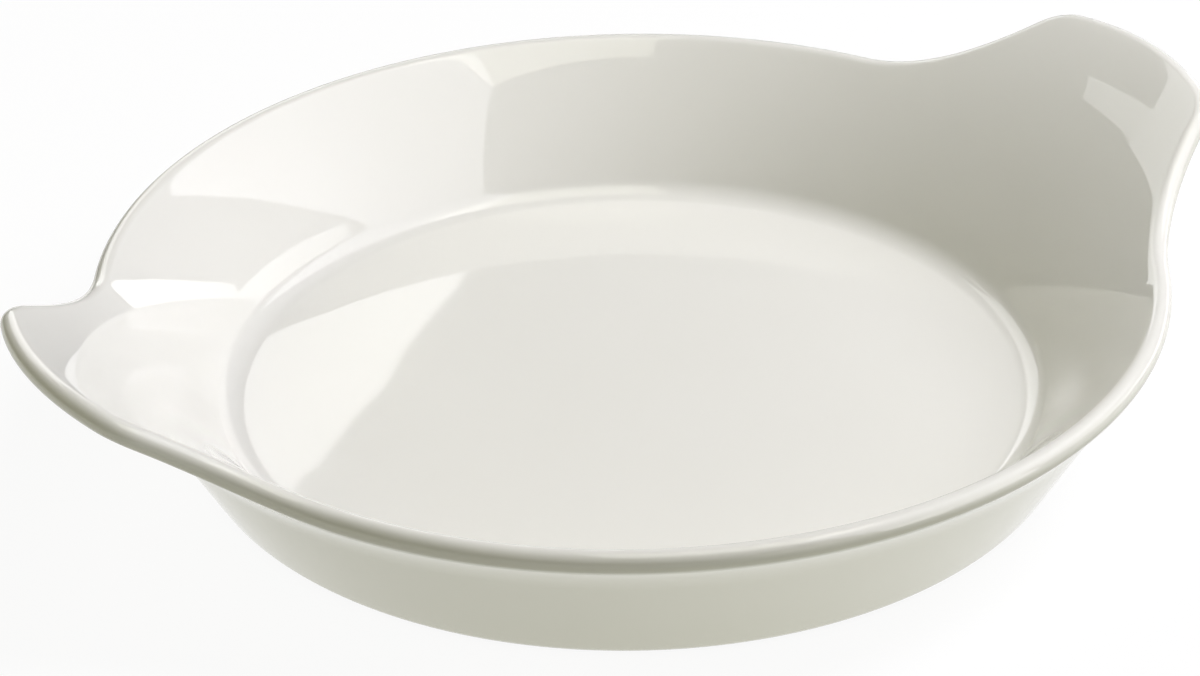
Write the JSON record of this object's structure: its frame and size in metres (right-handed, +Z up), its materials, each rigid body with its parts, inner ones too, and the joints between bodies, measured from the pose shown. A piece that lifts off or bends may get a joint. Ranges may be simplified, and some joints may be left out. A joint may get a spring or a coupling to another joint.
{
  "type": "gratin dish",
  "caption": "Round white glazed porcelain gratin dish with a flared wall, a full round lip and two upswept ears to lift it by; it bakes and serves from oven to table.",
  "frame": {"origin": "centre of the foot ring's bottom face, on the table", "axes": "+Z up along the bowl's axis; X runs through the two ears; Y across the plain rim"},
  "size_m": [0.288, 0.24, 0.0561],
  "materials": {
    "fired_porcelain": "bare fired clay, matt and slightly rough",
    "white_glaze": "warm white transparent glaze over porcelain, high gloss"
  },
  "bodies": {
    "root": {"porcelain_body": "fired_porcelain", "glaze_coat": "white_glaze", "underside_glaze": "white_glaze"}
  },
  "joints": []
}
